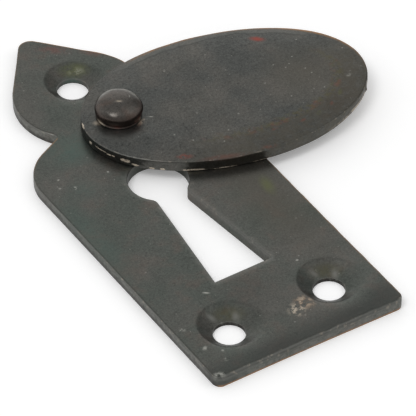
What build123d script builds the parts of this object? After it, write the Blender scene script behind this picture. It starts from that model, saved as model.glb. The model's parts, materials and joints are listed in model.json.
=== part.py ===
from build123d import *
from math import radians, sqrt, tan
import os

# Keyhole escutcheon: a blackened steel plate with an oval drop cover on a domed rivet.
# Millimetres. It lies on its back: +Z is out of the face, +Y is towards the finial.
# The origin is the centre of the keyhole's round head, on the back face.

# Sheet and running clearances
plate_thickness = 1.6
cover_thickness = 1.9  # in the middle; its edge is as thick as the plate
face_clearance = 0.08  # between the plate, the turning cover and the rivet's head
pivot_clearance = 0.06  # radial, between the rivet's shank and the cover

# Plate outline
plate_width = 28.0
head_to_end = 35.5  # keyhole head's centre to the square end
end_corner_radius = 1.2
neck_width = 13.5  # across the two notches
notch_radius = 0.5
shoulder_fall = 26.0  # degrees that each shoulder drops from the notch to the side
shoulder_radius = 7.0
finial_radius = 8.8
head_to_finial = 19.7  # keyhole head's centre to the finial's round part
finial_side = 0.35  # the finial was cut a little to the right of the plate's middle
finial_reach = 13.0  # from the round part's centre to the tip
tip_side = -0.25  # and its tip a little to the left
tip_radius = 1.7
face_edge_round = 0.35  # worn edges round the plate's face

# Keyhole
key_head_radius = 4.0
key_drop = 20.3  # head's centre to the slot's flat bottom
key_foot_width = 8.5
key_waist_width = 4.4
key_waist_radius = 1.2
slot_side = -0.2  # the slot was cut a little to the left of the head's centre

# Screw holes, sunk with one cone-shaped tool
screw_hole_radius = 2.1
sink_angle = 126.0
lower_sink_depth = 1.05
top_sink_depth = 0.85
screw_side_inset = 6.5
screw_end_inset = 7.2
head_to_top_screw = 21.9
top_screw_side = 0.6  # to the right of the plate's middle

# Oval cover
cover_length = 39.1
cover_width = 24.4
pivot_to_end = 5.2  # the rivet's axis to the cover's near end, along the oval
pivot_off_axis = 0.85  # the cover's hole was punched this far off the oval's long axis
margin_width = 4.0  # the hammered bevel round the cover's face
margin_drop = 0.3
cover_swing = 78.5  # degrees from hanging over the keyhole to the position shown

# Rivet
pivot_x = 1.4  # the rivet stands a little to one side of the plate's middle
pivot_y = 11.5
shank_radius = 1.75
rivet_head_radius = 3.15
rivet_wall_height = 2.0
rivet_dome_height = 0.75
rivet_rim_radius = 0.7
rivet_foot_taper = 0.15  # the head draws in this much towards its foot
tail_radius = 2.7  # the shank's end, hammered flush into the plate's back
tail_depth = 0.7

# Levels above the back face
cover_bottom = plate_thickness + face_clearance
cover_top = cover_bottom + cover_thickness
rivet_seat = cover_top + face_clearance


def finial_outline():
    """A round leaf drawn out to a blunt point: the hull of a large and a small circle."""
    leaf = Pos(finial_side, head_to_finial) * Circle(finial_radius)
    point = Pos(tip_side, head_to_finial + finial_reach - tip_radius) * Circle(tip_radius)
    return make_hull(leaf.edges() + point.edges())


def body_outline():
    """The straight-sided part, with falling shoulders that reach in to the neck's notches."""
    half_width = plate_width / 2
    half_neck = neck_width / 2
    notch_y = head_to_finial - sqrt(finial_radius**2 - half_neck**2)
    fall = tan(radians(shoulder_fall))
    ridge_y = notch_y + half_neck * fall
    body = Polygon(
        (-half_width, -head_to_end),
        (half_width, -head_to_end),
        (half_width, ridge_y - (half_width - finial_side) * fall),
        (finial_side, ridge_y),
        (-half_width, ridge_y - (half_width + finial_side) * fall),
        align=None,
    )
    upward = body.vertices().sort_by(Axis.Y)
    shoulders = upward[2:4]
    body = fillet(shoulders, shoulder_radius)
    corners = body.vertices().group_by(Axis.Y)[0]
    return fillet(corners, end_corner_radius)


def plate_outline():
    """Body and finial in one, with the notches between them softened."""
    outline = body_outline() + finial_outline()
    half_neck = neck_width / 2
    notches = outline.vertices().filter_by(lambda v: abs(abs(v.X - finial_side) - half_neck) < notch_radius)
    return fillet(notches, notch_radius)


def keyhole_outline():
    """A round head over a slot that widens to a flat foot, with soft corners at the waist."""
    half_waist = key_waist_width / 2
    half_foot = key_foot_width / 2
    waist_y = -sqrt(key_head_radius**2 - (half_waist + abs(slot_side)) ** 2)
    slot = Pos(slot_side, 0) * Polygon(
        (-half_foot, -key_drop),
        (half_foot, -key_drop),
        (half_waist, waist_y),
        (-half_waist, waist_y),
        align=None,
    )
    keyhole = Circle(key_head_radius) + slot
    waist = keyhole.vertices().filter_by(lambda v: abs(v.Y - waist_y) < key_waist_radius)
    return fillet(waist, key_waist_radius)


def screw_hole(depth):
    """The cutter for one screw hole: a plain bore under a wide cone, its mouth on the face."""
    spread = depth * tan(radians(sink_angle / 2))
    section = Polygon(
        (0, 0),
        (screw_hole_radius, 0),
        (screw_hole_radius, plate_thickness - depth),
        (screw_hole_radius + spread, plate_thickness),
        (0, plate_thickness),
        align=None,
    )
    return revolve(Plane.XZ * section, Axis.Z)


def screw_holes():
    """The lower pair and the single top hole, as cutters in place."""
    side = plate_width / 2 - screw_side_inset
    lower_y = screw_end_inset - head_to_end
    lower = [Pos(x, lower_y) * screw_hole(lower_sink_depth) for x in (-side, side)]
    return lower + [Pos(top_screw_side, head_to_top_screw) * screw_hole(top_sink_depth)]


def rivet_hole():
    """The cutter for the plate's rivet hole, widened at the back for the hammered tail."""
    section = Polygon(
        (0, 0),
        (tail_radius, 0),
        (shank_radius, tail_depth),
        (shank_radius, plate_thickness),
        (0, plate_thickness),
        align=None,
    )
    return Pos(pivot_x, pivot_y) * revolve(Plane.XZ * section, Axis.Z)


def make_backplate():
    """The sheet, cut to outline, with its face's edge worn round and its holes cut through."""
    plate = extrude(plate_outline(), plate_thickness)
    rim = plate.faces().sort_by(Axis.Z)[-1].edges()
    plate = fillet(rim, face_edge_round)
    plate -= extrude(keyhole_outline(), plate_thickness)
    plate -= screw_holes()
    return plate - rivet_hole()


def oval_at(level, inset):
    """The cover's oval, drawn in by an inset, at a level above its underside."""
    return Pos(0, 0, level) * Ellipse(cover_length / 2 - inset, cover_width / 2 - inset)


def make_swing_cover():
    """The oval sheet with its bevelled margin, drilled for the rivet and swung to its place."""
    edge_height = cover_thickness - margin_drop
    bevel = loft([oval_at(edge_height, 0), oval_at(cover_thickness, margin_width)], ruled=True)
    oval = extrude(oval_at(0, 0), edge_height) + bevel
    pivot_along = pivot_to_end - cover_length / 2
    pivot_hole = extrude(Circle(shank_radius + pivot_clearance), cover_thickness)
    cover = Pos(-pivot_along, -pivot_off_axis) * oval - pivot_hole
    return Pos(pivot_x, pivot_y, cover_bottom) * Rot(0, 0, cover_swing - 90) * cover


def make_pivot_rivet():
    """One turned form: flush tail, shank, and a button head whose wall swells up to a low dome."""
    foot_radius = rivet_head_radius - rivet_foot_taper
    wall_top = rivet_seat + rivet_wall_height
    below = Polyline(
        (0, wall_top + rivet_dome_height),
        (0, 0),
        (tail_radius, 0),
        (shank_radius, tail_depth),
        (shank_radius, rivet_seat),
        (foot_radius, rivet_seat),
    )
    wall = TangentArc((rivet_head_radius, wall_top), (foot_radius, rivet_seat), tangent=(0, -1))
    dome = TangentArc((0, wall_top + rivet_dome_height), (rivet_head_radius, wall_top), tangent=(1, 0))
    section = make_face(below.edges() + wall.edges() + dome.edges())
    section = fillet(section.vertices().sort_by(Axis.X)[-1], rivet_rim_radius)
    return Pos(pivot_x, pivot_y) * revolve(Plane.XZ * section, Axis.Z)


os.makedirs("parts", exist_ok=True)
export_step(make_backplate(), "parts/backplate.step")
export_step(make_swing_cover(), "parts/swing_cover.step")
export_step(make_pivot_rivet(), "parts/pivot_rivet.step")
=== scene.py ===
# Keyhole escutcheon: a blackened plate with a leaf finial, an oval drop cover and the rivet it turns on.
import json
import bmesh
import bpy
import numpy as np
from mathutils import Matrix, Vector
from mathutils.geometry import delaunay_2d_cdt


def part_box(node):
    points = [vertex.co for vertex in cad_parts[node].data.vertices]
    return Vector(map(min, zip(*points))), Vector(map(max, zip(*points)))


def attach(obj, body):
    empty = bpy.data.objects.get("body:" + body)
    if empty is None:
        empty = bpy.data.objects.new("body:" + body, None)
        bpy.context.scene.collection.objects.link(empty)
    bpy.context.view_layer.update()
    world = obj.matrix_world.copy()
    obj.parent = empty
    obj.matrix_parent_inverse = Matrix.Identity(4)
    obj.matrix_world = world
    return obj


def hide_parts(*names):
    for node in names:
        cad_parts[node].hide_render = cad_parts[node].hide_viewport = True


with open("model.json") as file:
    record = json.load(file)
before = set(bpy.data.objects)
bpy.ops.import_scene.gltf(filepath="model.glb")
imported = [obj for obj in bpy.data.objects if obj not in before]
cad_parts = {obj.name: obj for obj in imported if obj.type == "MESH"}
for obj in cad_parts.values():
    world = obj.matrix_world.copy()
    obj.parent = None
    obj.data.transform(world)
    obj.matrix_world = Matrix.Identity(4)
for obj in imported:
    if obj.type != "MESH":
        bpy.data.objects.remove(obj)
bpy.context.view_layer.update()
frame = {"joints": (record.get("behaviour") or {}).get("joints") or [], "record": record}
mm = 0.001  # sizes below are in millimetres, meshes in metres
fullTurn = 2 * np.pi
waveSet = 0.3  # the slow waves of the sheets are set low by this share of their height
farSide = np.array((0.5, 0.87))  # the way the red edges face
farFull = 0.77  # an edge that faces so far that way shows its full red
nearToFar = (-0.6, 0.5)  # and over this range its round goes from the near size to the far one
nearRight = np.array((0.21, -0.98))  # the way the sunk holes' soft lips lie
pivotSpot = np.array(frame["joints"][0]["pos_m"][:2]) / mm
mounts = {mount["name"]: mount for mount in frame["record"]["mounts"]}
print("frame loaded, pivot at", pivotSpot.round(2))


# Outlines and rings

def ramp(value, low, high):
    # 0 up to low, 1 from high on, straight between them
    return np.clip((value - low) / (high - low), 0, 1)


def bell(value, middle, width):
    # 1 in the middle, falling off to both sides
    return np.exp(-((value - middle) / width)**2)


def rays(angles):
    # unit vectors at these angles
    return np.stack([np.cos(angles), np.sin(angles)], -1)


def wholeTurn(steps):
    return np.linspace(0, fullTurn, steps, endpoint=False)


def turnedBy(degrees):
    # the matrix that turns points, written as rows, anticlockwise
    across, up = rays(np.radians(degrees))
    return np.array([[across, up], [-up, across]])


def angleOf(vector):
    return np.arctan2(vector[1], vector[0])


def arcPoints(centre, radius, start, end, turn=1, step=0.05):
    # points round a centre, from one angle to another; turn is 1 anticlockwise and -1 clockwise
    sweep = turn * ((end - start) * turn % fullTurn)
    angles = np.linspace(start, start + sweep, int(abs(sweep) * radius / step) + 3)
    return np.asarray(centre) + radius * rays(angles)


def evenly(points, step, closed=True):
    # the same line with its points an even step apart
    line = np.vstack([points, points[:1]]) if closed else points
    run = np.concatenate([[0], np.cumsum(np.linalg.norm(np.diff(line, axis=0), axis=1))])
    at = np.linspace(0, run[-1], int(run[-1] / step) + 1, endpoint=not closed)
    return np.stack([np.interp(at, run, axis) for axis in line.T], 1)


def outward(loop):
    # unit normals of a loop that runs anticlockwise: its tangent turned a quarter clockwise
    along = np.roll(loop, -1, 0) - np.roll(loop, 1, 0)
    along /= np.linalg.norm(along, axis=1, keepdims=True)
    return np.stack([along[:, 1], -along[:, 0]], 1)


def ripple(x, y, size, seed, waves=11):
    # a smooth uneven field: plane waves of about one length, in seeded directions, with unit spread
    rng = np.random.default_rng(seed)
    heading, phase = rng.uniform(0, fullTurn, (2, waves))
    pitch = fullTurn / (size * rng.uniform(0.7, 1.7, waves))
    along = np.asarray(x)[..., None] * np.cos(heading) + np.asarray(y)[..., None] * np.sin(heading)
    return np.cos(along * pitch + phase).sum(-1) / np.sqrt(waves / 2)


def slowWave(flat, form):
    # the hammered face: ripples of several lengths added up, each with its share, length and seed
    x, y = flat[..., 0], flat[..., 1]
    wave = sum(share * ripple(x, y, size, seed) for share, size, seed in form["waves"])
    return form["faceWave"] * (wave - waveSet)


def nearest(points, loop):
    # distance from each point to a loop, by way of its closely set points
    return np.sqrt(((points[:, None] - loop[None]) ** 2).sum(2).min(1))


def inside(points, loop):
    # even-odd rule: how many of the loop's edges a ray along +X crosses
    a, b = loop[None], np.roll(loop, -1, 0)[None]
    x, y = points[:, :1], points[:, 1:]
    straddles = (a[..., 1] > y) != (b[..., 1] > y)
    rise = np.where(straddles, b[..., 1] - a[..., 1], 1)
    crossing = a[..., 0] + (y - a[..., 1]) * (b[..., 0] - a[..., 0]) / rise
    return (straddles & (crossing > x)).sum(1) % 2 == 1


def raised(flat, level):
    # points of a plan, each with its height
    return np.concatenate([flat, level[..., None]], -1)


def quarterRound(radius, rings):
    # how far in and how far down the rings of a round lie, from the face to the wall
    bend = np.linspace(0, np.pi / 2, rings)[:, None]
    return radius * (1 - np.sin(bend)), radius * (1 - np.cos(bend))


def edgeProfile(radius, rings, wallDown):
    # a quarter round, then the wall: how far in, how far down, and the share of the wall that is passed
    roundIn, roundDown = quarterRound(radius, rings)
    onWall = np.zeros((len(wallDown), 1))
    inset = np.concatenate([roundIn, onWall * radius])
    sink = np.concatenate([roundDown, onWall + radius])
    down = np.concatenate([np.zeros(rings), wallDown])[:, None]
    return inset, sink, down


def linked(name, data):
    made = bpy.data.objects.new(name, data)
    bpy.context.scene.collection.objects.link(made)
    return made


class Shell:
    # gathers rings of points and the faces between them into one mesh
    def __init__(self):
        self.points, self.faces, self.count = [], [], 0
        self.marks = {"worn": [], "wall": [], "rust": [], "bare": [], "grime": [], "margin": []}

    def add(self, points, **marks):
        # the marks, in their order: rubbed arrises and painted highlights; cut edges and the rivet head's
        # lower part, where shade is painted; red edges; bare chips; painted shade in dark lines, at the
        # walls' feet and in the bores; margin counts from 0 at the cover's edge to 1 at its ridge
        index = np.arange(self.count, self.count + points[..., 0].size).reshape(points.shape[:-1])
        self.points.append(points.reshape(-1, 3))
        for name, gathered in self.marks.items():
            gathered.append(np.broadcast_to(marks.get(name, 0.0), index.shape).ravel())
        self.count += index.size
        return index

    def skin(self, rings):
        # quads between each ring and the next; every ring closes on itself
        ahead = np.roll(rings, -1, 1)
        quads = np.stack([rings[:-1], ahead[:-1], ahead[1:], rings[1:]], -1)
        self.faces += quads.reshape(-1, 4).tolist()

    def band(self, points, **marks):
        # rings that are added and skinned in one go
        rings = self.add(points, **marks)
        self.skin(rings)
        return rings

    def fan(self, ring, pole):
        # triangles from a ring to the one point that closes it
        ahead = np.roll(ring, -1)
        self.faces += np.stack([ring, ahead, np.full_like(ring, pole)], -1).tolist()

    def fill(self, loops, inner):
        # triangles over the flat region between an outer loop and its holes, through the inner points
        order = np.concatenate([*loops, inner])
        flat = np.concatenate(self.points)[order, :2]
        starts = np.cumsum([0] + [len(loop) for loop in loops])
        runs = [np.arange(start, start + len(loop)) for start, loop in zip(starts, loops)]
        edges = np.concatenate([np.stack([run, np.roll(run, -1)], 1) for run in runs])
        insideOuter, tolerance = 1, 1e-7
        made = delaunay_2d_cdt(flat.tolist(), edges.tolist(), [], insideOuter, tolerance)
        corners, origins = made[2:4]
        triangles = np.array([origin[0] for origin in origins])[np.array(corners)]
        middle = flat[triangles].mean(1)
        inHole = np.any([inside(middle, flat[run]) for run in runs[1:]], 0)
        self.faces += order[triangles[~inHole]].tolist()

    def piece(self, name, body, node, slot, sharpAngle=50):
        # the mesh with its marks, faces turned outward, in the place of its CAD node
        mesh = bpy.data.meshes.new(name)
        mesh.from_pydata((np.concatenate(self.points) * mm).tolist(), [], self.faces)
        for mark, values in self.marks.items():
            mesh.attributes.new(mark, "FLOAT", "POINT").data.foreach_set("value", np.concatenate(values))
        work = bmesh.new()
        work.from_mesh(mesh)
        bmesh.ops.recalc_face_normals(work, faces=work.faces)
        work.to_mesh(mesh)
        work.free()
        mesh.shade_smooth()
        mesh.set_sharp_from_angle(angle=np.radians(sharpAngle))
        shown = linked(name, mesh)
        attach(shown, body)
        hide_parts(node)
        print(name, "has", len(mesh.polygons), "faces")
        return shown


# Backplate

plateLow, plateHigh = (np.array(corner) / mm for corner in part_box("backplate"))

plateForm = {
    "leafCentre": (0.35, 19.7),
    "leafRadius": 8.8,
    "tipSide": -0.25,
    "tipRadius": 1.7,
    "neckWidth": 13.5,
    "notchRound": 0.5,
    "shoulderFall": 26.0,
    "shoulderRound": 7.0,
    "cornerRound": 1.2,
    "cornerPull": (0.08, -0.26),  # how far out the lower right corner was cut
    "nearEdgeRound": 0.15,
    "farEdgeRound": 0.09,
    "endEdgeRound": 0.52,  # the square end is rubbed rounder
    "hem": (0.18, 0.09),  # two rings of the face just inside the edge's round
    "underRoll": 0.06,  # the near sides' lower arris is rolled under
    "footDraw": 0.02,  # the wall draws in this much at the back
    "rollDrop": 0.03,  # the face falls this much towards its punched edge
    "rollReach": 2.2,
    "edgeWobble": 0.018,
    "faceWave": 0.012,
    "waves": [(0.7, 17, 3), (0.3, 6, 4)],  # share, length and seed
    "keyHeadRadius": 4.0,
    "keyDrop": 20.3,
    "keyFootWidth": 8.5,
    "keyWaistWidth": 4.4,
    "keyWaistRound": 1.2,
    "slotSide": -0.2,
    "keyEdgeRound": 0.12,
    "sinkAngle": 126.0,
    "lowerSinkDepth": 1.02,
    "topSinkDepth": 0.85,
    "sinkLip": 0.09,
    "sinkSoftLip": 0.45,  # on the near right side, where the lip is rolled in
    "sinkDish": 0.86,  # below 1 the cone is steeper at its lip than at its bore
    "sinkLean": (0.37, 0.58),  # the tool stood a little off the bores' axes
    "toolStreak": 0.012,  # depth of the sinking tool's chatter in the cones
    # painted shade in the bores, deeper in the lower ones
    "lowerBoreShade": 1.3,  # how dark the bores are
    "topBoreShade": 0.3,
    "shankRadius": 1.75,
    "tailRadius": 2.7,
    "tailDepth": 0.7,
    "pathStep": 0.14,
    "faceStep": 0.55,
    "sinkSteps": 150,
    "rivetSteps": 96,
}


def plateOutline(form):
    # arcs in turn, anticlockwise from the lower left corner; the straight stretches are what joins them
    half, low = plateHigh[0], plateLow[1]
    corner = form["cornerRound"]
    leaf, leafRadius = np.array(form["leafCentre"]), form["leafRadius"]
    tip = np.array((form["tipSide"], plateHigh[1] - form["tipRadius"]))
    fall = np.radians(form["shoulderFall"])
    notch, shoulder = form["notchRound"], form["shoulderRound"]
    halfNeck = form["neckWidth"] / 2
    neckY = leaf[1] - np.sqrt(leafRadius**2 - halfNeck**2)
    spread = np.arccos((leafRadius - form["tipRadius"]) / np.linalg.norm(tip - leaf))
    lean = angleOf(tip - leaf)

    def side(sign):
        # one shoulder: its normal, its round's centre and its notch's centre
        normal = np.array((sign * np.sin(fall), np.cos(fall)))
        along = np.array((sign * np.cos(fall), -np.sin(fall)))
        neck = np.array((leaf[0] + sign * halfNeck, neckY))
        roundX = sign * (half - shoulder)
        roundY = (neck @ normal - shoulder - roundX * normal[0]) / normal[1]
        start = neck + notch * normal - leaf
        reach = (leafRadius + notch)**2 - start @ start
        slide = -(start @ along) + np.sqrt((start @ along)**2 + reach)
        return normal, np.array((roundX, roundY)), leaf + start + slide * along

    right, rightRound, rightNotch = side(1)
    left, leftRound, leftNotch = side(-1)
    quarter = np.pi / 2
    arcs = [
        arcPoints((-half + corner, low + corner), corner, 2 * quarter, 3 * quarter),
        arcPoints((half - corner, low + corner), corner, 3 * quarter, 4 * quarter),
        arcPoints(rightRound, shoulder, 0, angleOf(right)),
        arcPoints(rightNotch, notch, angleOf(-right), angleOf(leaf - rightNotch), -1),
        arcPoints(leaf, leafRadius, angleOf(rightNotch - leaf), lean - spread),
        arcPoints(tip, form["tipRadius"], lean - spread, lean + spread),
        arcPoints(leaf, leafRadius, lean + spread, angleOf(leftNotch - leaf)),
        arcPoints(leftNotch, notch, angleOf(leaf - leftNotch), angleOf(-left), -1),
        arcPoints(leftRound, shoulder, angleOf(left), 2 * quarter),
    ]
    loop = evenly(np.concatenate(arcs), form["pathStep"])
    # the lower right corner is pulled out, less and less along the end and up the side
    alongEnd, upSide = ramp(loop[:, 0] / half, -0.3, 1)**1.5, ramp(loop[:, 1] / low, 0.565, 1)
    return loop + (alongEnd * upSide)[:, None] * form["cornerPull"]


def keyholeOutline(form):
    # a round head over a slot that widens to a flat foot, with a round at each side of the waist
    head, ease, shift = form["keyHeadRadius"], form["keyWaistRound"], form["slotSide"]
    halfFoot, halfWaist, drop = form["keyFootWidth"] / 2, form["keyWaistWidth"] / 2, form["keyDrop"]
    waistY = -np.sqrt(head**2 - (halfWaist + abs(shift))**2)
    upward = np.array((halfWaist - halfFoot, waistY + drop))
    upward /= np.linalg.norm(upward)
    normal = np.array((upward[1], -upward[0]))

    def waist(offset):
        # the round that touches the right flank, moved by the offset, and the head's circle
        start = np.array((halfWaist + offset, waistY)) + ease * normal
        slide = -(start @ upward) - np.sqrt((start @ upward)**2 + (head + ease)**2 - start @ start)
        centre = start + slide * upward
        return angleOf(centre), arcPoints(centre, ease, angleOf(-normal), angleOf(-centre), -1)

    rightAngle, rightSide = waist(shift)
    leftAngle, leftSide = waist(-shift)
    corners = np.array([(shift - halfFoot, -drop), (shift + halfFoot, -drop)])
    crown = arcPoints((0, 0), head, rightAngle, np.pi - leftAngle)
    leftSide = (leftSide * np.array((-1, 1)))[::-1]
    return evenly(np.concatenate([corners, rightSide, crown, leftSide]), form["pathStep"])


def plateFace(flat, distance, form):
    # thickness, less the fall towards the punched edge, with a slow wave over the whole sheet
    fall = form["rollDrop"] * np.exp(-(np.maximum(distance, 0) / form["rollReach"])**1.4)
    return plateHigh[2] + slowWave(flat, form) - fall


def plateRim(shell, outline, form):
    # the edge's profile carried along the outline: a hem of the face, a quarter round, then the wall
    normal = outward(outline)
    facing = normal @ farSide
    atEnd = ramp(-normal[:, 1], 0.4, 0.9)  # 1 along the square end
    radius = np.interp(facing, nearToFar, (form["nearEdgeRound"], form["farEdgeRound"]))
    radius = radius + (form["endEdgeRound"] - radius) * atEnd
    radius = radius * (1 + 0.1 * ripple(*outline.T, 6, 8) + 0.12 * atEnd * ripple(*outline.T, 2.2, 9))
    radius = np.minimum(radius, 0.5 * form["cornerRound"])
    hem = radius + np.array(form["hem"])[:, None]
    inset, sink, down = edgeProfile(radius, 9, [0.2, 0.4, 0.55, 0.7, 0.85, 0.95, 1])
    inset, sink = np.concatenate([hem, inset]), np.concatenate([0 * hem, sink])
    down = np.concatenate([np.zeros((len(hem), 1)), down])
    rolled = form["underRoll"] * ramp(-facing, 0, 0.5) * (1 - atEnd)
    inset = inset - form["edgeWobble"] * ripple(*outline.T, 4.5, 7) * (1 - down)
    inset = inset + form["footDraw"] * down**6 + rolled * ramp(down, 0.5, 1)**1.6
    flat = outline - normal * inset[..., None]
    level = (plateFace(flat, inset, form) - sink) * (1 - down)
    onFace, off = down == 0, inset - radius
    # a paler rubbed arris, partly painted light over the dark that its round reflects
    worn = bell(inset / radius, 0.3, 0.35) * onFace * (1 - 0.1 * atEnd)
    rust = ramp(facing, 0, farFull) * onFace * bell(np.maximum(off, 0), 0, 0.08)
    rust = rust + atEnd * (down > 0.75)
    # painted shade: a dark line where the near edges' round begins, and on the lower walls away from the
    # square end
    grime = ramp(-facing, 0, 0.667) * bell(off, 0.05, 0.07) * onFace * (1 - 0.8 * atEnd)
    grime = grime + (1 - atEnd) * ramp(down, 0.32, 0.72)
    wall = (1 - 0.35 * atEnd) * (down > 0)
    return shell.band(raised(flat, level), worn=worn, wall=wall, rust=rust, grime=grime)


def ringPlan(centres, radii, steps):
    # rings round their centres, in plan
    return np.reshape(centres, (-1, 1, 2)) + radii[:, None, None] * rays(wholeTurn(steps))


def screwHole(shell, form, heightAt, centre, bore, depth, deepShade):
    # a dished cone, then the plain bore; the fall is a power of the softened distance in from the mouth
    mouth = bore + depth * np.tan(np.radians(form["sinkAngle"] / 2))
    lipRings, coneRings = np.linspace(mouth + 0.9, mouth - 0.5, 29), np.linspace(mouth - 0.6, bore, 20)
    boreDown = [0.12, 0.4, 0.7, 0.93, 1]
    radii = np.concatenate([lipRings, coneRings, np.full(len(boreDown), bore)])
    down = np.concatenate([np.zeros(len(lipRings) + len(coneRings)), boreDown])[:, None]
    leaning = ramp(radii[:, None], bore, mouth) * form["sinkLean"]
    flat = ringPlan(centre + leaning, radii, form["sinkSteps"])
    ray = rays(wholeTurn(form["sinkSteps"]))
    lip = np.interp(ray @ nearRight, [-0.2, 0.6], [form["sinkLip"], form["sinkSoftLip"]])
    inward = lip * np.log1p(np.exp((mouth - radii[:, None]) / lip))
    share = inward / inward.max(0)
    chatter = form["toolStreak"] * ripple(*(3 * ray.T), 1.7, 5) * np.sin(np.pi * share)
    level = (heightAt(flat) - depth * share**form["sinkDish"] + chatter) * (1 - down)
    worn = 0.5 * bell(radii[:, None], bore, 0.06) * (down < 0.2)
    # painted shade darkens the bore's wall
    return shell.band(raised(flat, level), worn=worn, grime=deepShade * (down > 0.1))


def rivetHole(shell, form, heightAt):
    # a plain bore, opened at the back for the rivet's hammered tail
    radii = np.array([form["shankRadius"], form["shankRadius"], form["tailRadius"]])
    flat = ringPlan(pivotSpot, radii, form["rivetSteps"])
    level = np.zeros(flat.shape[:2])
    level[0] = heightAt(flat[0])
    level[1] = form["tailDepth"]
    return shell.band(raised(flat, level))


def keyholeWall(shell, form, heightAt):
    # a small round at the face, then the straight wall
    loop = keyholeOutline(form)
    grow, sink, down = edgeProfile(form["keyEdgeRound"], 6, [0.35, 0.7, 0.95, 1])
    flat = loop + outward(loop) * grow[..., None]
    level = (heightAt(flat) - sink) * (1 - down)
    return shell.band(raised(flat, level), worn=0.6 * (down == 0))


def faceGrid(edges, step):
    # a triangular grid of points over the face, clear of the outline and of every hole
    x, y = np.meshgrid(np.arange(plateLow[0], plateHigh[0], step),
                       np.arange(plateLow[1], plateHigh[1], step * np.sqrt(0.75)))
    x[1::2] += step / 2
    grid = np.stack([x.ravel(), y.ravel()], 1)
    grid = grid[inside(grid, edges[0])]
    for edge in edges[1:]:
        grid = grid[~inside(grid, edge)]
    for edge in edges:
        grid = grid[nearest(grid, edge) > 0.6 * step]
    return grid


def buildPlate(form):
    shell, outline = Shell(), plateOutline(form)

    def heightAt(points):
        flat = points.reshape(-1, 2)
        return plateFace(flat, nearest(flat, outline), form).reshape(points.shape[:-1])

    rim = plateRim(shell, outline, form)
    lower, top = mounts["lower_screw_holes"], mounts["top_screw_hole"]
    halfSpan, lowerY = lower["dims"]["spacing_x_mm"] / 2, lower["pos_m"][1] / mm
    sunk = [(np.array((x, lowerY)), lower["dims"]["hole_r_mm"], form["lowerSinkDepth"], form["lowerBoreShade"])
            for x in (-halfSpan, halfSpan)]
    topSpot, topBore = np.array(top["pos_m"][:2]) / mm, top["dims"]["r_mm"]
    sunk.append((topSpot, topBore, form["topSinkDepth"], form["topBoreShade"]))
    holes = [screwHole(shell, form, heightAt, *hole) for hole in sunk]
    holes += [rivetHole(shell, form, heightAt), keyholeWall(shell, form, heightAt)]

    # the face between the loops, through a grid of inner points, and the plain back
    loops = [rim] + holes
    points = np.concatenate(shell.points)
    grid = faceGrid([points[loop[0], :2] for loop in loops], form["faceStep"])
    inner = shell.add(raised(grid, heightAt(grid)))
    shell.fill([loop[0] for loop in loops], inner)
    shell.fill([loop[-1] for loop in loops], inner[:0])
    return shell.piece("plate", "plate", "backplate", "plate_steel")


# Oval cover

coverLow, coverHigh = (np.array(corner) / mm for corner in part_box("swing_cover"))

coverForm = {
    "length": 39.1,
    "width": 24.4,
    "pivotToEnd": 5.2,
    "pivotOffAxis": 0.85,
    "swing": -11.5,
    "edgeThick": 1.6,
    "marginWidth": 4.0,
    "nearTopRound": 0.2,
    "farTopRound": 0.07,
    "lowRound": 0.12,
    "endLowRound": 0.5,  # the lower arris is rounded off at the free end
    "handCut": [  # degrees round the oval, distance off it
        (0, -0.02), (15, 0.07), (35, 0.16), (55, 0.07), (75, -0.03), (90, -0.02), (105, 0.13),
        (120, 0.25), (140, 0.1), (170, 0), (300, 0), (335, -0.06), (360, -0.02)],
    "cutBlend": 14,  # steps to each side over which the cuts run into each other
    "edgeWobble": 0.012,
    "wallRough": 0.02,
    "faceWave": 0.014,
    "waves": [(0.6, 15, 22), (0.4, 5.5, 23)],  # share, length and seed
    "pivotHole": 1.81,
    "freeEnd": (300, 322, 342, 356),  # degrees over which the free end's wear comes and goes
    "burrAt": -23.7,  # degrees round the oval, at the free end
    "burrSize": 0.2,
    "burrSpan": 0.3,
    "burrLevel": (0.9, 0.5),  # its middle above the underside, and how far it spreads up and down
    "redFrom": (4, 10),  # distance from the pivot over which the far edge's red line sets in
    "redWidth": 0.2,
    "steps": 620,
}


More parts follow.
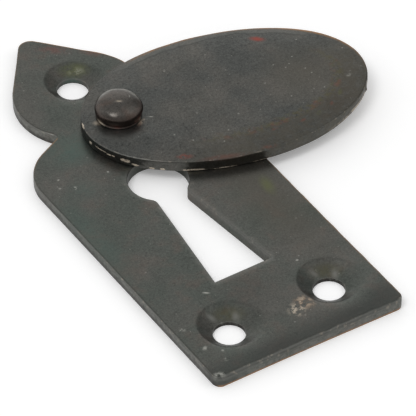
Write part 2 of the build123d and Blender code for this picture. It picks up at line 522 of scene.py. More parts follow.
def buildCover(form):
    # one closed sheet of rings: out over the face, round the edge, in under it and up the pivot's hole
    shell = Shell()
    halves = np.array((form["length"], form["width"])) / 2
    turn = wholeTurn(form["steps"])
    degrees = np.degrees(turn)
    centre = np.array((halves[0] - form["pivotToEnd"], -form["pivotOffAxis"]))
    oval = centre + halves * rays(turn)
    normal = rays(turn) / halves
    normal /= np.linalg.norm(normal, axis=1, keepdims=True)
    cut = np.interp(degrees, *np.transpose(form["handCut"]))
    cut = np.mean([np.roll(cut, k) for k in range(-form["cutBlend"], form["cutBlend"] + 1)], 0)
    uneven = cut + form["edgeWobble"] * ripple(*oval.T, 5, 21)
    burrTurn = (turn - np.radians(form["burrAt"]) + np.pi) % fullTurn - np.pi
    burr = form["burrSize"] * bell(burrTurn * halves[0], 0, form["burrSpan"])
    oval = oval + normal * uneven[:, None]
    hole = form["pivotHole"] * oval / np.linalg.norm(oval, axis=1, keepdims=True)
    crown = coverHigh[2] - coverLow[2] - form["edgeThick"]
    swung = turnedBy(form["swing"])
    facing = normal @ swung @ farSide

    def marginShare(flat):
        # distance from the oval's edge over the margin's width, by the ellipse's own equation
        off = (flat - centre) / halves
        size = np.linalg.norm(off, axis=-1)
        steep = np.linalg.norm(off / halves, axis=-1) + 1e-9
        return np.clip(size * (1 - size) / steep / form["marginWidth"], 0, 6)

    def faceHeight(flat):
        # the margin rises from the edge to a soft ridge, and the middle is nearly flat
        rise = (1 - np.exp(-(1.15 * marginShare(flat))**3))**(1 / 3)
        return form["edgeThick"] + crown * rise + slowWave(flat, form)

    # face: straight from the hole to the start of the edge's round, closer set near the edge
    radius = np.interp(facing, nearToFar, (form["nearTopRound"], form["farTopRound"]))
    radius = radius * (1 + 0.1 * ripple(*oval.T, 5, 24))
    start = oval - normal * radius[:, None]
    share = np.sin(np.linspace(0, np.pi / 2, 46))[:, None, None]
    face = hole + (start - hole) * share
    faceMargin = marginShare(face)
    face = raised(face, faceHeight(face))

    # edge: a round, the wall with its burr, and a round below that grows at the free end
    roundIn, roundDown = (part[1:] for part in quarterRound(radius, 9))
    edgeTop = faceHeight(oval)
    down = np.array([0.2, 0.45, 0.65, 0.8, 0.9])[:, None]
    atEnd = np.interp(degrees, form["freeEnd"], [0, 1, 1, 0])
    lowRound = form["lowRound"] + (form["endLowRound"] - form["lowRound"]) * atEnd
    lowLevel, lowIn = quarterRound(lowRound, 5)
    rough = form["wallRough"] * ripple(oval[None, :, 0] + 9 * down, oval[None, :, 1], 1.3, 25)
    inset = np.concatenate([roundIn, rough, lowIn])
    wallLevel = (edgeTop - radius) * (1 - down) + lowRound * down
    level = np.concatenate([edgeTop - roundDown, wallLevel, lowLevel])
    flat = oval - normal * (inset - burr * bell(level, *form["burrLevel"]))[..., None]
    edge = raised(flat, level)

    # underside and the hole's wall
    share = np.linspace(0, 1, 12)[1:, None, None]
    below = flat[-1] + (hole - flat[-1]) * share
    below = raised(below, np.zeros(below.shape[:2]))
    lift = np.array([0.35, 0.75])[:, None] * face[0, :, 2]
    bore = raised(np.repeat(hole[None], 2, 0), lift)
    rings = np.concatenate([face, edge, below, bore])
    placed = raised(rings[..., :2] @ swung + pivotSpot, rings[..., 2] + coverLow[2])

    # marks ring by ring, counted from the first ring of the edge's round
    margin, worn, rust, bare = np.zeros((4, *rings.shape[:2]))
    rim = len(face)
    margin[:rim] = faceMargin
    worn[rim - 1:rim + 6] = bell(np.arange(-1, 6), 3, 2)[:, None]
    farEdge = ramp(facing, 0, farFull) * ramp(oval[:, 0], *form["redFrom"])
    rust[:rim] = farEdge * bell(faceMargin * form["marginWidth"], 0, form["redWidth"])
    rust[rim:rim + 6] = farEdge
    rust[rim + 6:rim + 8] = 0.4 * farEdge
    bare[rim + 11:rim + 17] = 0.7 * atEnd
    index = shell.add(placed, worn=worn, rust=rust, bare=bare, margin=margin)
    shell.skin(np.concatenate([index, index[:1]]))
    return shell.piece("cover", "cover", "swing_cover", "cover_steel")


# Rivet

rivetHigh = np.array(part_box("pivot_rivet")[1]) / mm

rivetForm = {
    "headRadius": 3.15,
    "headShift": (-0.12, 0.08),  # the head was set a little off the shank
    "bulgeHeight": 1.15,  # from the seat up to the widest ring
    "domeSquareness": 2.05,
    "seatGap": 0.05,
    "footRadius": 3.0,
    "footHeight": 0.12,
    "footSwell": 0.04,
    "waistRadius": 2.94,
    "waistHeight": 0.3,  # from the seat up to the narrowest ring
    "lumps": 0.02,
    "shankRadius": 1.74,
    "tailRadius": 2.69,
    "tailDepth": 0.69,
    "tailDish": 0.05,
    "nickSpot": (1.03, 11.07),
    "nickSize": (0.36, 0.15),
    "nickHeading": -33.0,
    "nickDepth": 0.05,
    "profileStep": 0.1,
    "steps": 220,
}


def buildRivet(form):
    # a profile of arcs turned round the pivot's axis, from the dome's top to the tail's middle
    shell = Shell()
    top, seat = rivetHigh[2], coverHigh[2] + form["seatGap"]
    head, foot, shank = form["headRadius"], form["footRadius"], form["shankRadius"]
    bulge, footHeight = seat + form["bulgeHeight"], form["footHeight"]
    hair = 0.01  # room for rounding at the seat's level
    up = np.linspace(np.pi / 2, 0, 60)
    boxy = 2 / form["domeSquareness"]
    dome = np.stack([head * np.cos(up)**boxy, bulge + (top - bulge) * np.sin(up)**boxy], 1)
    fall = np.linspace(0, 1, 24)[1:]
    waistRadii = head - (head - form["waistRadius"]) * fall**2
    waist = np.stack([waistRadii, bulge - fall * (form["bulgeHeight"] - form["waistHeight"])], 1)
    ring = [(foot, seat + footHeight), (foot + form["footSwell"], seat + 0.5 * footHeight), (foot, seat)]
    tail = [(shank, seat), (shank, form["tailDepth"]), (form["tailRadius"], 0), (0.05, form["tailDish"])]
    profile = evenly(np.concatenate([dome, waist, ring, tail]), form["profileStep"], False)[1:]
    radii, height = profile[:, :1], profile[:, 1:]
    ray = rays(wholeTurn(form["steps"]))
    flat = radii[..., None] * ray
    level = np.repeat(height, len(ray), 1)
    uneven = ripple(flat[..., 0] + level, flat[..., 1] - level, 2.3, 31)
    lumps = form["lumps"] * ramp(level, seat, seat + 0.6) * uneven
    place = flat * (1 + (lumps / head)[..., None]) + pivotSpot

    # the head and its underside stand off the shank's axis, and the dome has a nick
    isHead = (height > seat + hair) | ((height > seat - hair) & (radii > shank + 0.3))
    place = place + isHead[..., None] * form["headShift"]
    along = turnedBy(-form["nickHeading"])
    off = (place - form["nickSpot"]) @ along / form["nickSize"]
    nick = np.exp(-(off**2).sum(2)) * (level > bulge)
    level = level + 0.5 * lumps * (level > seat) - form["nickDepth"] * nick

    atFoot = (height < seat + 1.3 * footHeight) & (height > seat - hair)
    # a painted highlight along the dome's far rim, and the head's lower part, where shade is painted
    farRimHighlight = bell((level - bulge) / (top - bulge), 0.6, 0.13) * ramp(ray @ farSide, 0, farFull)
    wall = (1 - ramp(level, bulge + 0.1, bulge + 0.9)) * (level > seat - hair)
    rings = shell.band(raised(place, level), worn=0.08 * atFoot + farRimHighlight, wall=wall, bare=0.6 * nick)
    poles = shell.add(np.array([(*place[0].mean(0), level[0].mean()), (*pivotSpot, form["tailDish"])]))
    shell.fan(rings[0], poles[0])
    shell.fan(rings[-1], poles[1])
    return shell.piece("rivet", "plate", "pivot_rivet", "rivet_steel", 60)


plate = buildPlate(plateForm)
cover = buildCover(coverForm)
rivet = buildRivet(rivetForm)


# Finishes

class Wire:
    # a shader socket that takes part in Python sums
    def __init__(self, graph, socket):
        self.graph, self.socket = graph, socket

    def maths(self, operation, first, second):
        return self.graph.node("ShaderNodeMath", {"operation": operation}, {0: first, 1: second})

    def __add__(self, other):
        return self.maths("ADD", self, other)

    __radd__ = __add__

    def __sub__(self, other):
        return self.maths("SUBTRACT", self, other)

    def __rsub__(self, other):
        return self.maths("SUBTRACT", other, self)

    def __mul__(self, other):
        return self.maths("MULTIPLY", self, other)

    __rmul__ = __mul__


class Graph:
    # the nodes of a material or a world
    def __init__(self, owner):
        owner.use_nodes = True
        self.owner, self.tree = owner, owner.node_tree
        self.tree.nodes.clear()

    def node(self, kind, settings=None, sockets=None, out=0):
        # settings come first, then the values or links of the sockets; out picks the output
        made = self.tree.nodes.new(kind)
        for name, value in (settings or {}).items():
            setattr(made, name, value)
        for name, value in (sockets or {}).items():
            if isinstance(value, Wire):
                self.tree.links.new(value.socket, made.inputs[name])
            else:
                made.inputs[name].default_value = value
        return Wire(self, made.outputs[out]) if len(made.outputs) else made

    def ease(self, value, low, high):
        # 0 below low, 1 above high, smooth between them; turned round where low is the larger
        if low > high:
            return 1 - self.ease(value, high, low)
        settings = {"interpolation_type": "SMOOTHSTEP"}
        return self.node("ShaderNodeMapRange", settings, {0: value, 1: low, 2: high})

    def blend(self, share, first, second, kind="MIX"):
        settings = {"data_type": "RGBA", "blend_type": kind}
        first, second = (paint if isinstance(paint, Wire) else (*paint, 1) for paint in (first, second))
        return self.node("ShaderNodeMix", settings, {0: share, 6: first, 7: second}, 2)  # 6, 7: colours

    def shifted(self, at, shift):
        return self.node("ShaderNodeVectorMath", {"operation": "ADD"}, {0: at, 1: (shift, shift, shift)})

    def noise(self, at, size, detail, rough, shift):
        return self.node("ShaderNodeTexNoise", None, {
            "Vector": self.shifted(at, shift), "Scale": 1 / size, "Detail": detail, "Roughness": rough})

    def patch(self, at, centre, halfSize, heading):
        # 1 in the middle of a turned oval, 0 at its rim
        inner = self.node("ShaderNodeMapping", {"vector_type": "TEXTURE"}, {
            "Vector": at, "Location": centre, "Rotation": (0, 0, np.radians(heading)), "Scale": halfSize})
        reach = self.node("ShaderNodeVectorMath", {"operation": "LENGTH"}, {0: inner}, 1)
        return self.ease(reach, 1, 0)

    def specks(self, at, size, keep, shift):
        # scattered round specks: the middles of some cells, chosen by the cell's own random colour
        sockets = {"Vector": self.shifted(at, shift), "Scale": 1 / size}
        near = self.node("ShaderNodeTexVoronoi", None, sockets)
        pick = self.node("ShaderNodeTexVoronoi", None, sockets, 1)
        chance = self.node("ShaderNodeSeparateColor", None, {0: pick})
        return self.ease(near, 0.22, 0.08) * self.ease(chance, 1 - keep, 1 - 0.5 * keep)

    def millimetres(self):
        place = self.node("ShaderNodeTexCoord", None, None, 3)  # Object coordinates
        return self.node("ShaderNodeVectorMath", {"operation": "SCALE"}, {0: place, "Scale": 1 / mm})

    def split(self, vector):
        parts = self.node("ShaderNodeSeparateXYZ", None, {0: vector}).socket.node.outputs
        return [Wire(self, part) for part in parts]

    def mark(self, name):
        return self.node("ShaderNodeAttribute", {"attribute_name": name}, None, 2)  # as one value


steel = {
    "teal": (0.078, 0.115, 0.1), "bare": (0.55, 0.475, 0.38), "rust": (0.36, 0.19, 0.085),
    "red": (0.26, 0.06, 0.045), "dust": (0.42, 0.42, 0.38), "olive": (0.098, 0.091, 0.05),
    "moss": (0.122, 0.134, 0.058), "peat": (0.082, 0.074, 0.057), "smudgeAndShade": (0.05, 0.034, 0.029),
    "shade": (0.05, 0.053, 0.049), "deepShade": (0.035, 0.033, 0.03), "cut": (0.2, 0.2, 0.185),
    "metallic": 0.9,
    "specular": 0.4,
    "grazing": (0.7, 0.7, 0.7),
    "roughness": 0.34,
    "bumpStrength": 0.5,
    "bumpDepth": 0.02,
    "evenMottle": 1.32,  # what leaves the tints as they are
    "chipped": 0.3,  # how much of the rubbed arrises is bare
}


def blackened(graph, at, tints):
    # clouded grey-green over brown, a fine grain and pale dust; gives colour, roughness and height
    shift = tints["cloudShift"]
    clouds = graph.noise(at, 8.0, 3.0, 0.55, shift)
    stains = graph.noise(at, 3.1, 4.0, 0.6, shift + 40)
    grain = graph.noise(at, 0.34, 3.0, 0.65, shift + 80)
    colour = graph.blend(graph.ease(clouds, 0.36, 0.64), tints["cool"], tints["grey"])
    colour = graph.blend(graph.ease(stains, 0.48, 0.7) * tints["stained"], colour, tints["brown"])
    fine = graph.noise(at, 0.17, 2.0, 0.7, shift + 120)
    pits = graph.ease(graph.noise(at, 0.42, 3.0, 0.6, shift + 160), 0.56, 0.72)
    mottle = 0.5 * clouds + 0.5 * stains + 0.8 * grain + 0.9 * fine - 0.2 * pits
    shade = 1 + tints["mottle"] * (mottle - steel["evenMottle"])
    tone = graph.node("ShaderNodeCombineColor", None, {0: shade, 1: shade, 2: shade})
    colour = graph.blend(1.0, colour, tone, "MULTIPLY")
    dust = graph.specks(at, 0.9, 0.12, shift) * graph.ease(clouds, 0.4, 0.65)
    dust = dust + graph.specks(at, 0.45, 0.06, shift + 3)
    colour = graph.blend(dust * 0.45, colour, steel["dust"])
    rough = steel["roughness"] + 0.16 * (stains - 0.5) + 0.14 * (grain - 0.5) + 0.2 * dust
    height = 0.6 * grain + 0.5 * stains + 0.4 * fine - 0.4 * pits + 0.25 * dust
    return colour, rough, height


def startFinish(name, tints):
    # a new material's graph, places in millimetres, and the blackened steel under everything else
    graph = Graph(bpy.data.materials.new(name))
    at = graph.millimetres()
    return graph, at, *blackened(graph, at, tints)


def wearEdges(graph, at, colour, tints):
    # rubbed arrises and painted highlights are paler, the far edges show a red line, and painted shade
    # darkens lines along the arrises, the walls' feet and the bores; bare metal shows on chips and where
    # the noise is high
    chips = graph.noise(at, 0.7, 3.0, 0.6, tints["chipShift"])
    worn = graph.mark("worn")
    colour = graph.blend(worn * tints["rubbed"], colour, steel["cut"])
    red = graph.mark("rust") * (0.5 + 0.5 * graph.ease(chips, 0.35, 0.6))
    colour = graph.blend(red * 0.8, colour, steel["rust"])
    colour = graph.blend(graph.mark("grime") * graph.ease(chips, 0.2, 0.55) * 0.75, colour, steel["deepShade"])
    rubbedBare = worn * graph.ease(chips, 0.55, 0.68) * steel["chipped"]
    bare = rubbedBare + graph.mark("bare") * graph.ease(chips, 0.36, 0.5)
    return graph.blend(bare, colour, steel["bare"])


def stained(graph, at, crumbs, colour, marks):
    # local marks in turn: each is an oval patch broken up by the crumbs noise
    for paint, centre, halfSize, heading, share, (low, high) in marks:
        mask = graph.patch(at, centre, halfSize, heading) * graph.ease(crumbs, low, high)
        colour = graph.blend(mask * share, colour, steel[paint])
    return colour


def finishSteel(graph, at, colour, rough, height, metallic, tints):
    # the wear of the edges over everything else, then the shader; gives the material
    bump = graph.node("ShaderNodeBump", None, {
        "Strength": steel["bumpStrength"], "Distance": steel["bumpDepth"] * mm, "Height": height})
    shader = graph.node("ShaderNodeBsdfPrincipled", None, {
        "Base Color": wearEdges(graph, at, colour, tints), "Roughness": rough, "Metallic": metallic,
        "Normal": bump, "Specular IOR Level": steel["specular"], "Specular Tint": (*steel["grazing"], 1)})
    graph.node("ShaderNodeOutputMaterial", None, {"Surface": shader})
    return graph.owner


plateTints = {
    "cool": (0.090, 0.099, 0.088), "grey": (0.097, 0.096, 0.087), "brown": (0.102, 0.090, 0.079),
    "stained": 0.75, "mottle": 1.05, "rubbed": 0.6, "cloudShift": 0.0, "chipShift": 11.0,
}

plateMarks = [  # colour, centre, half size, heading in degrees, share, range of the crumbs that show
    ("teal", (-6.2, 10.8, 1.6), (5.0, 4.5, 6), 20, 0.75, (0.1, 0.6)),
    ("teal", (-12.8, -5.0, 1.6), (2.8, 13.0, 6), 0, 0.5, (0.1, 0.6)),
    ("teal", (-9.0, 3.3, 1.6), (4.0, 3.0, 6), 0, 0.4, (0.2, 0.6)),
    ("bare", (1.5, -30.1, 1.6), (1.8, 1.6, 2), 30, 0.95, (0.46, 0.57)),
    ("rust", (3.0, -29.5, 1.6), (1.5, 1.9, 2), 30, 0.4, (0.42, 0.56)),
    ("bare", (3.1, -29.4, 1.6), (1.3, 1.7, 2), 30, 0.65, (0.5, 0.59)),
    ("dust", (-6.5, -21.4, 1.6), (0.7, 0.24, 1), -38, 0.85, (0.2, 0.4)),
    ("dust", (6.5, -22.5, 1.6), (0.3, 0.25, 1), 0, 0.8, (0.1, 0.3)),
    ("dust", (-12.7, -25.5, 1.6), (0.6, 0.7, 1), 0, 0.6, (0.5, 0.58)),
    ("dust", (-12.1, -29.8, 1.6), (0.6, 0.45, 1), 30, 0.7, (0.47, 0.55)),
    ("dust", (-11.0, -32.9, 1.6), (0.4, 0.5, 1), 0, 0.7, (0.44, 0.54)),
    ("dust", (-10.4, -31.3, 1.6), (0.35, 0.3, 1), 0, 0.5, (0.44, 0.54)),
    ("dust", (-9.9, 4.3, 1.6), (0.5, 0.45, 1), 40, 0.8, (0.48, 0.55)),
    ("dust", (-10.9, 6.8, 1.6), (0.25, 0.2, 1), 0, 0.9, (0.3, 0.5)),
    ("dust", (-11.6, 5.3, 1.6), (0.3, 0.3, 1), 0, 0.6, (0.45, 0.55)),
    ("dust", (-4.7, 4.7, 1.6), (0.25, 0.25, 1), 0, 0.9, (0.3, 0.5)),
    ("peat", (10.0, -11.0, 1.6), (6.5, 17.0, 2), 0, 0.5, (0.0, 0.5)),
    ("moss", (11.2, -8.5, 1.6), (2.7, 1.25, 2), 79, 0.6, (0.15, 0.42)),
    ("olive", (-6.0, -25.9, 1.2), (2.9, 2.0, 1), -27, 0.8, (0.2, 0.55)),
    ("olive", (8.8, -25.9, 1.2), (2.9, 2.0, 1), -27, 0.8, (0.2, 0.55)),
    # a green tint with a painted highlight on the top hole's far flank
    ("moss", (2.5, 24.6, 1.1), (2.9, 1.8, 1.2), -30, 0.95, (0.25, 0.6)),
    ("red", (2.0, 29.3, 1.6), (3.4, 1.3, 1), -40, 0.24, (0.3, 0.6)),
    ("red", (6.2, 25.8, 1.6), (2.6, 1.0, 1), -45, 0.2, (0.3, 0.6)),
    ("shade", (0.0, -34.9, 1.6), (40.0, 3.8, 1.0), 0, 0.65, (0.0, 0.4)),
    ("shade", (7.5, -34.5, 1.6), (7.0, 1.6, 1), 0, 0.6, (0.1, 0.5)),
    ("shade", (-4.0, -34.3, 1.6), (5.0, 1.6, 1), 0, 0.5, (0.2, 0.55)),
    ("shade", (12.3, -33.3, 1.6), (4.2, 3.4, 1), 0, 0.5, (0.0, 0.5)),
    ("shade", (-2.5, -24.5, 1.6), (7.0, 4.5, 1), 0, 0.4, (0.2, 0.6)),
    # painted highlights on the lower holes' far flanks, then painted light on their near right flanks
    ("cut", (-5.3, -26.4, 0.75), (1.3, 0.8, 0.9), 70, 0.75, (0.1, 0.6)),
    ("cut", (-8.1, -25.1, 1.0), (1.2, 0.6, 0.9), 110, 0.65, (0.0, 0.4)),
    ("cut", (9.6, -26.5, 0.75), (1.3, 0.8, 0.9), 70, 0.75, (0.1, 0.6)),
    ("cut", (7.3, -25.2, 1.0), (1.2, 0.6, 0.9), 110, 0.65, (0.0, 0.4)),
    ("cut", (-6.4, -30.7, 1.3), (2.0, 1.1, 1), 25, 0.5, (0.0, 0.4)),
    ("cut", (8.6, -30.7, 1.3), (2.0, 1.1, 1), 25, 0.5, (0.0, 0.4)),
    ("cut", (5.9, -30.5, 1.4), (1.6, 0.5, 1), -33, 0.6, (0.2, 0.5)),
    # pale streaks in the top hole's painted highlight
    ("dust", (2.7, 24.4, 0.9), (1.8, 1.0, 0.8), -30, 0.5, (0.45, 0.6)),
    ("teal", (1.6, 23.7, 0.35), (2.4, 1.3, 0.7), -30, 0.9, (0.0, 0.4)),
    ("shade", (-13.0, -34.8, 0.7), (5.0, 4.0, 1.3), 0, 0.7, (0.0, 0.4)),
    ("cut", (11.5, -28.0, 1.6), (3.5, 5.0, 1), 0, 0.18, (0.0, 0.4)),
    ("dust", (-13.2, -34.8, 1.5), (1.1, 0.75, 1), -20, 0.9, (0.44, 0.52)),
]


def plateFinish(tints):
    graph, at, colour, rough, height = startFinish("blackened_plate", tints)
    crumbs = graph.noise(at, 0.75, 3.0, 0.7, 5)
    # paler filed metal on the cut edges, partly painted light for the white floor they reflect
    filedAndPaintedLight = 0.15 + 0.8 * graph.ease(graph.noise(at, 0.7, 4.0, 0.75, 70), 0.36, 0.6)
    colour = graph.blend(graph.mark("wall") * filedAndPaintedLight, colour, steel["cut"])
    colour = stained(graph, at, crumbs, colour, plateMarks)
    return finishSteel(graph, at, colour, rough, height, steel["metallic"], tints)


coverTints = {
    "cool": (0.083, 0.086, 0.081), "grey": (0.088, 0.086, 0.078), "brown": (0.087, 0.080, 0.072),
    "stained": 0.45, "mottle": 1.45, "rubbed": 0.15, "cloudShift": 17.0, "chipShift": 14.0,
}

coverMarks = [  # columns as in plateMarks
    ("smudgeAndShade", (26.5, -1.2, 3.4), (6.0, 2.2, 4), 35, 0.35, (0.3, 0.6)),
    # darker just below the rivet's foot
    ("smudgeAndShade", (0.6, 8.4, 3.5), (2.2, 0.9, 2), -35, 0.8, (0.3, 0.55)),
    ("red", (24.8, 14.65, 3.4), (1.5, 0.75, 2), -42, 0.95, (0.3, 0.5)),
    ("red", (14.4, -4.0, 3.2), (1.5, 0.5, 0.7), -15, 0.6, (0.4, 0.56)),
    ("red", (4.2, 0.2, 3.3), (1.5, 0.7, 1), -30, 0.7, (0.38, 0.54)),
    ("red", (8.6, -2.6, 3.2), (4.5, 0.7, 0.5), -21, 0.5, (0.3, 0.55)),
    ("red", (16.8, -1.7, 3.5), (0.8, 0.35, 1), 0, 0.5, (0.35, 0.55)),
    ("red", (20.9, -2.2, 3.5), (0.7, 0.35, 1), 10, 0.6, (0.35, 0.55)),
    ("red", (25.9, -1.4, 3.5), (0.7, 0.35, 1), 45, 0.5, (0.35, 0.55)),
    ("moss", (23.5, -2.1, 3.5), (0.9, 0.4, 1), 20, 0.8, (0.35, 0.55)),
    ("moss", (28.0, -0.2, 3.5), (1.0, 0.45, 1), 50, 0.9, (0.3, 0.5)),
    ("peat", (26.5, 6.0, 3.5), (9.0, 9.0, 1), 0, 0.4, (0.0, 0.4)),
    # painted shade on the near wall over the plate
    ("deepShade", (-2.6, 7.0, 2.3), (3.0, 7.0, 0.9), 20, 0.6, (0.1, 0.4)),
    # painted light on the near wall beyond the plate, for the white floor it reflects
    ("cut", (24.0, -2.5, 2.35), (13.0, 8.0, 0.95), 0, 0.15, (0.05, 0.5)),
    ("bare", (33.5, 1.2, 2.2), (4.0, 4.0, 0.9), 0, 0.35, (0.1, 0.5)),
    # painted light that lifts the shade just below the rivet
    ("cut", (-0.6, 8.2, 3.55), (3.4, 2.0, 1), -33, 0.6, (0.1, 0.5)),
    ("bare", (-1.6, 11.6, 3.55), (1.3, 0.75, 0.5), -33, 0.95, (0.3, 0.44)),
    ("bare", (2.9, 8.7, 3.55), (1.1, 0.55, 0.5), 25, 0.8, (0.36, 0.5)),
    ("dust", (4.57, 8.93, 3.6), (0.75, 0.1, 1), -33, 0.8, (0.3, 0.5)),
    ("dust", (30.9, 2.1, 3.5), (0.6, 0.45, 1), 20, 0.9, (0.4, 0.5)),
    ("dust", (24.5, 3.5, 3.5), (5.0, 3.0, 2), 0, 0.5, (0.66, 0.72)),
]

coverChips = [  # place on the edge, half length, half height, heading and share
    ((-3.75, 12.7, 3.15), 1.3, 0.3, 85, 0.9),
    ((-4.0, 10.0, 2.35), 0.5, 0.35, 90, 1),
    ((-3.8, 8.1, 2.5), 1.7, 0.16, -76, 0.9),
    ((-3.2, 6.5, 2.42), 1.0, 0.22, -66, 1),
    ((-2.1, 4.6, 2.4), 1.1, 0.4, -56, 1),
    ((-1.3, 3.5, 2.05), 0.8, 0.28, -50, 0.8),
    ((0.2, 1.9, 1.9), 0.7, 0.28, -43, 0.6),
    ((1.3, 1.0, 1.95), 0.6, 0.35, -40, 0.6),
    ((4.7, -1.2, 1.82), 2.3, 0.28, -30, 1.25),
    ((8.4, -2.9, 1.75), 3.2, 0.22, -21, 0.7),
    ((13.0, -4.1, 1.75), 2.8, 0.22, -14, 0.45),
]

coverSpecks = [  # single grains of dust on the face
    (23.6, 9.0), (24.7, 7.7), (25.5, 8.1), (26.6, 9.1), (26.8, 6.2), (27.0, 5.0), (26.8, 1.7), (22.2, 2.5),
    (20.7, 6.5), (29.1, 11.8), (33.3, 7.2), (6.7, 2.1), (11.6, 1.3), (10.0, -0.2), (5.2, 4.3),
]


def coverFinish(tints):
    graph, at, colour, rough, height = startFinish("blackened_cover", tints)
    crumbs = graph.noise(at, 0.8, 3.0, 0.7, 6)
    colour = stained(graph, at, crumbs, colour, coverMarks)
    margin = graph.mark("margin")
    x, y, _ = graph.split(at)

    # brown on the near margin, with olive and red along its ridge
    nearSide = graph.ease(0.3 * x - 0.95 * y, -2, 6)
    brown = graph.ease(margin, 1.1, 0.85) * nearSide * (0.4 + 0.6 * graph.ease(crumbs, 0.35, 0.6))
    colour = graph.blend(brown * 0.6, colour, steel["peat"])
    ridge = graph.ease(margin, 0.75, 0.95) * graph.ease(margin, 1.3, 1.05) * nearSide
    colour = graph.blend(ridge * graph.ease(crumbs, 0.42, 0.6) * 0.55, colour, steel["olive"])
    flecks = graph.noise(at, 1.5, 3.0, 0.7, 60)
    colour = graph.blend(ridge * graph.ease(flecks, 0.5, 0.7) * 0.22, colour, steel["red"])

    # painted shade in a dark line and a painted highlight in a pale strip along the far edge, which waver
    # with the noise
    strip = graph.ease(0.5 * x + 0.87 * y, 18.5, 21.5) * graph.ease(x, 32.5, 28.5)
    wavering = margin + 0.4 * (graph.noise(at, 3.0, 2.0, 0.5, 65) - 0.5)
    line = graph.ease(wavering, 0.34, 0.28) * graph.ease(wavering, 0.2, 0.28)
    colour = graph.blend(line * strip * 0.55, colour, steel["shade"])
    colour = graph.blend(graph.ease(wavering, 0.29, 0.22) * strip * 0.2, colour, steel["cut"])

    # bare chips along the near edge, ragged by a fine noise, and the grains of dust
    chipped = sum(share * graph.patch(at, spot, (reach, 0.6, rise), heading)
                  for spot, reach, rise, heading, share in coverChips)
    ragged = graph.ease(graph.noise(at, 0.36, 3.0, 0.8, 50), 0.25, 0.65)
    chipped = graph.ease(chipped * ragged, 0.12, 0.3)
    colour = graph.blend(chipped, colour, steel["bare"])
    specks = [("dust", (*spot, 3.5), (0.19, 0.15, 0.5), 0, 0.6, (0.25, 0.45)) for spot in coverSpecks]
    colour = stained(graph, at, crumbs, colour, specks)
    return finishSteel(graph, at, colour, rough, height, steel["metallic"] - 0.7 * chipped, tints)


rivetTints = {
    "cool": (0.088, 0.083, 0.076), "grey": (0.090, 0.080, 0.071), "brown": (0.098, 0.074, 0.062),
    "stained": 0.8, "mottle": 1.2, "rubbed": 0.1, "cloudShift": 31.0, "chipShift": 16.0,
}

rivetMarks = [  # columns as in plateMarks
    ("red", (3.0, 9.2, 4.3), (1.8, 1.6, 0.8), 30, 0.75, (0.3, 0.55)),
    ("red", (-0.6, 9.3, 4.0), (1.2, 0.8, 0.5), -50, 0.3, (0.4, 0.6)),
    ("bare", (-1.65, 11.3, 3.75), (0.8, 1.3, 0.42), -10, 0.95, (0.3, 0.45)),
    ("bare", (3.2, 9.1, 3.85), (0.9, 0.8, 0.45), 40, 0.8, (0.36, 0.52)),
    ("bare", (3.75, 9.6, 4.3), (0.3, 0.3, 0.7), 40, 0.7, (0.25, 0.5)),
    ("dust", (2.76, 11.27, 6.0), (0.12, 0.5, 1), -30, 0.5, (0.2, 0.45)),
]


def rivetFinish(tints):
    graph, at, colour, rough, height = startFinish("blackened_rivet", tints)
    # painted shade on the head's lower part, in a dark red-brown
    colour = graph.blend(graph.mark("wall") * 0.8, colour, steel["smudgeAndShade"])
    crumbs = graph.noise(at, 0.6, 3.0, 0.7, 9)
    colour = stained(graph, at, crumbs, colour, rivetMarks)
    # a painted highlight along the dome's far rim, with a little wear at the foot: paler and less metallic
    rim = graph.mark("worn") * (0.5 + 0.5 * graph.ease(crumbs, 0.35, 0.6))
    colour = graph.blend(rim * 0.6, colour, steel["dust"])
    return finishSteel(graph, at, colour, rough - 0.04, height, steel["metallic"] - 0.5 * rim, tints)


plate.data.materials.append(plateFinish(plateTints))
cover.data.materials.append(coverFinish(coverTints))
rivet.data.materials.append(rivetFinish(rivetTints))
print("finishes made")


# Floor, light and camera

stageForm = {  # sizes in metres, apart from the floor's gap
    "floorHalf": 4.0,
    "floorGap": 0.02,  # the floor lies this far below the plate's back
    "floorColour": (0.96, 0.96, 0.96),
    "floorGlow": 0.195,
    "lamps": [((-0.77, -0.19, 1.39), 0.7, 5.5), ((0.85, -0.45, 1.28), 1.0, 0.9)],  # place, width and power
    "roomLight": 0.68,
    "backdropLight": 0.84,
    "rightShade": 0.82,
    "leftShade": 0.35,
    "frontShade": 0.25,
}

cameraForm = {  # millimetres and degrees
    "aim": (2.3605, -8.1272, 1.6),
    "azimuth": -32.973,
    "elevation": 41.938,
    "roll": 0.171,
    "distance": 699.49,
    "lens": 473.21,
    "sensor": 36.0,
    "clip": (0.05, 20.0),  # metres
}


def floorFinish(form):
    # matt white that glows a little, but only where a camera, glossy or transmission ray sees it
    graph = Graph(bpy.data.materials.new("white_floor"))
    path = graph.node("ShaderNodeLightPath").socket.node.outputs
    seen = [Wire(graph, path[f"Is {kind} Ray"]) for kind in ("Camera", "Glossy", "Transmission")]
    shown = graph.node("ShaderNodeMath", {"operation": "ADD", "use_clamp": True},
                       {0: seen[0] + seen[1], 1: seen[2]})
    matt = graph.node("ShaderNodeBsdfDiffuse", None, {"Color": (*form["floorColour"], 1)})
    glow = graph.node("ShaderNodeEmission", None, {"Strength": form["floorGlow"]})
    both = graph.node("ShaderNodeAddShader", None, {0: matt, 1: glow})
    floor = graph.node("ShaderNodeMixShader", None, {0: shown, 1: matt, 2: both})
    graph.node("ShaderNodeOutputMaterial", None, {"Surface": floor})
    return graph.owner


def buildFloor(form):
    half, below = form["floorHalf"], -form["floorGap"] * mm
    corners = [(x, y, below) for x, y in ((-half, -half), (half, -half), (half, half), (-half, half))]
    mesh = bpy.data.meshes.new("floor")
    mesh.from_pydata(corners, [], [(0, 1, 2, 3)])
    mesh.materials.append(floorFinish(form))
    linked("floor", mesh)


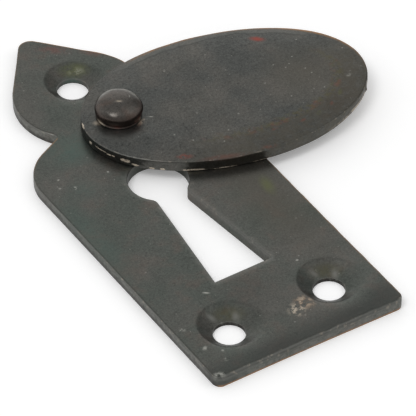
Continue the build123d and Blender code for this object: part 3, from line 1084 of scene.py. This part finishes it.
def hangLamps(form):
    # round softboxes that face the origin
    for place, width, power in form["lamps"]:
        data = bpy.data.lights.new("softbox", "AREA")
        data.shape, data.size, data.energy = "DISK", width, power
        spot = Vector(place)
        facing = spot.to_track_quat("Z", "Y").to_matrix().to_4x4()
        linked("softbox", data).matrix_world = Matrix.Translation(spot) @ facing


def lightRoom(form):
    # a white room as the camera faces it: a bright band behind, shades to the right, left and front
    graph = Graph(bpy.data.worlds.new("studio"))
    bpy.context.scene.world = graph.owner
    way = graph.node("ShaderNodeTexCoord", None, None, 0)
    turned = graph.node("ShaderNodeVectorRotate", {"rotation_type": "Z_AXIS"}, {
        "Vector": way, "Angle": -np.radians(cameraForm["azimuth"])})
    right, away, up = graph.split(turned)
    band = (1 - graph.ease(up, 0.15, 1.0)) * (0.65 + 0.35 * graph.ease(up, 0.0, 0.4))
    light = form["roomLight"] + form["backdropLight"] * (band * graph.ease(away, -0.5, 0.5))
    behind = graph.ease(away, -0.1, 0.7)
    light = light * (1 - form["rightShade"] * graph.ease(right, 0.0, 0.65) * behind)
    light = light * (1 - form["leftShade"] * graph.ease(right, -0.05, -0.6) * behind)
    light = light * (1 - form["frontShade"] * graph.ease(away, -0.1, -0.55))
    sky = graph.node("ShaderNodeBackground", None, {"Color": (1, 1, 1, 1), "Strength": light})
    graph.node("ShaderNodeOutputWorld", None, {"Surface": sky})


def buildCamera(form):
    data = bpy.data.cameras.new("camera")
    data.sensor_width, data.lens = form["sensor"], form["lens"]
    data.clip_start, data.clip_end = form["clip"]
    camera = linked("camera", data)
    azimuth, elevation, roll = (np.radians(form[name]) for name in ("azimuth", "elevation", "roll"))
    level = Vector((np.cos(azimuth), np.sin(azimuth), 0))
    away = Vector((np.sin(azimuth), -np.cos(azimuth), 0))
    back = away * np.cos(elevation) + Vector((0, 0, np.sin(elevation)))
    upward = back.cross(level)
    right = level * np.cos(roll) + upward * np.sin(roll)
    place = (Vector(form["aim"]) + back * form["distance"]) * mm
    turned = Matrix((right, back.cross(right), back)).transposed().to_4x4()
    camera.matrix_world = Matrix.Translation(place) @ turned
    bpy.context.scene.camera = camera


buildFloor(stageForm)
hangLamps(stageForm)
lightRoom(stageForm)
buildCamera(cameraForm)
bpy.context.scene.view_settings.view_transform = "Standard"
print("stage, light and camera set")
